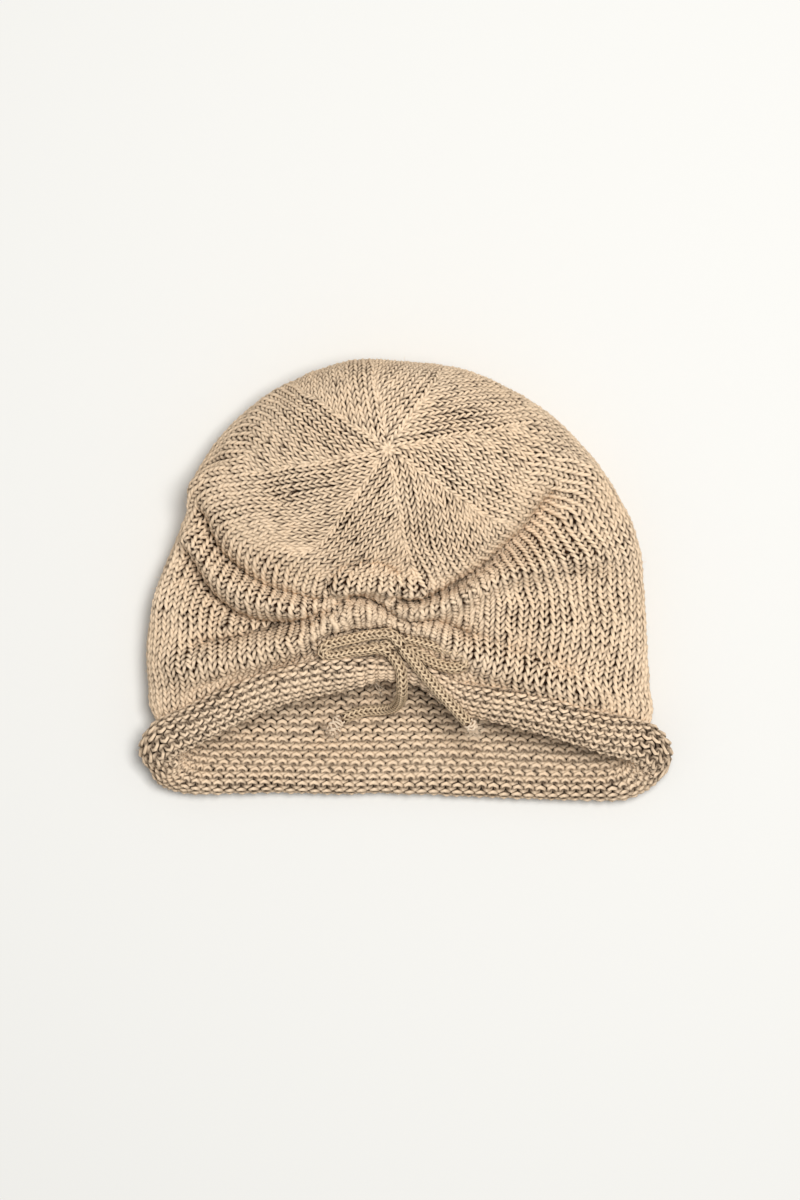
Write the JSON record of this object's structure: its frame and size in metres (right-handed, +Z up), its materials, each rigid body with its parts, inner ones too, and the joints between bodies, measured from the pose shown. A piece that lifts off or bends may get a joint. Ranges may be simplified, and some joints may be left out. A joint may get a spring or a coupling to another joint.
{
  "type": "knitted beanie",
  "caption": "Slouchy hand-knitted beanie lying flat, with a round crown, a rolled edge and a front gathered by a knitted drawcord tied in a bow.",
  "frame": {"origin": "on the surface that the cap lies on, below the middle of its box without the cords", "axes": "+X across the cap to the right of its front, +Y from its mouth to its top, +Z up out of the surface, through the front with the bow"},
  "size_m": [0.2512, 0.2089, 0.0675],
  "materials": {
    "knit_body": "matt stockinette knit of soft cotton yarn, face side out",
    "knit_roll": "matt stockinette knit rolled outwards, purl side showing",
    "knit_cord": "matt knitted cord of the same cotton yarn, slightly fuzzy"
  },
  "bodies": {
    "root": {"crown": "knit_body", "rolled_brim": "knit_roll", "bow_loop_left": "knit_cord", "bow_loop_right": "knit_cord", "bow_tail_left": "knit_cord", "bow_tail_right": "knit_cord", "bow_knot": "knit_cord", "tail_knot_left": "knit_cord", "tail_knot_right": "knit_cord"}
  },
  "joints": []
}
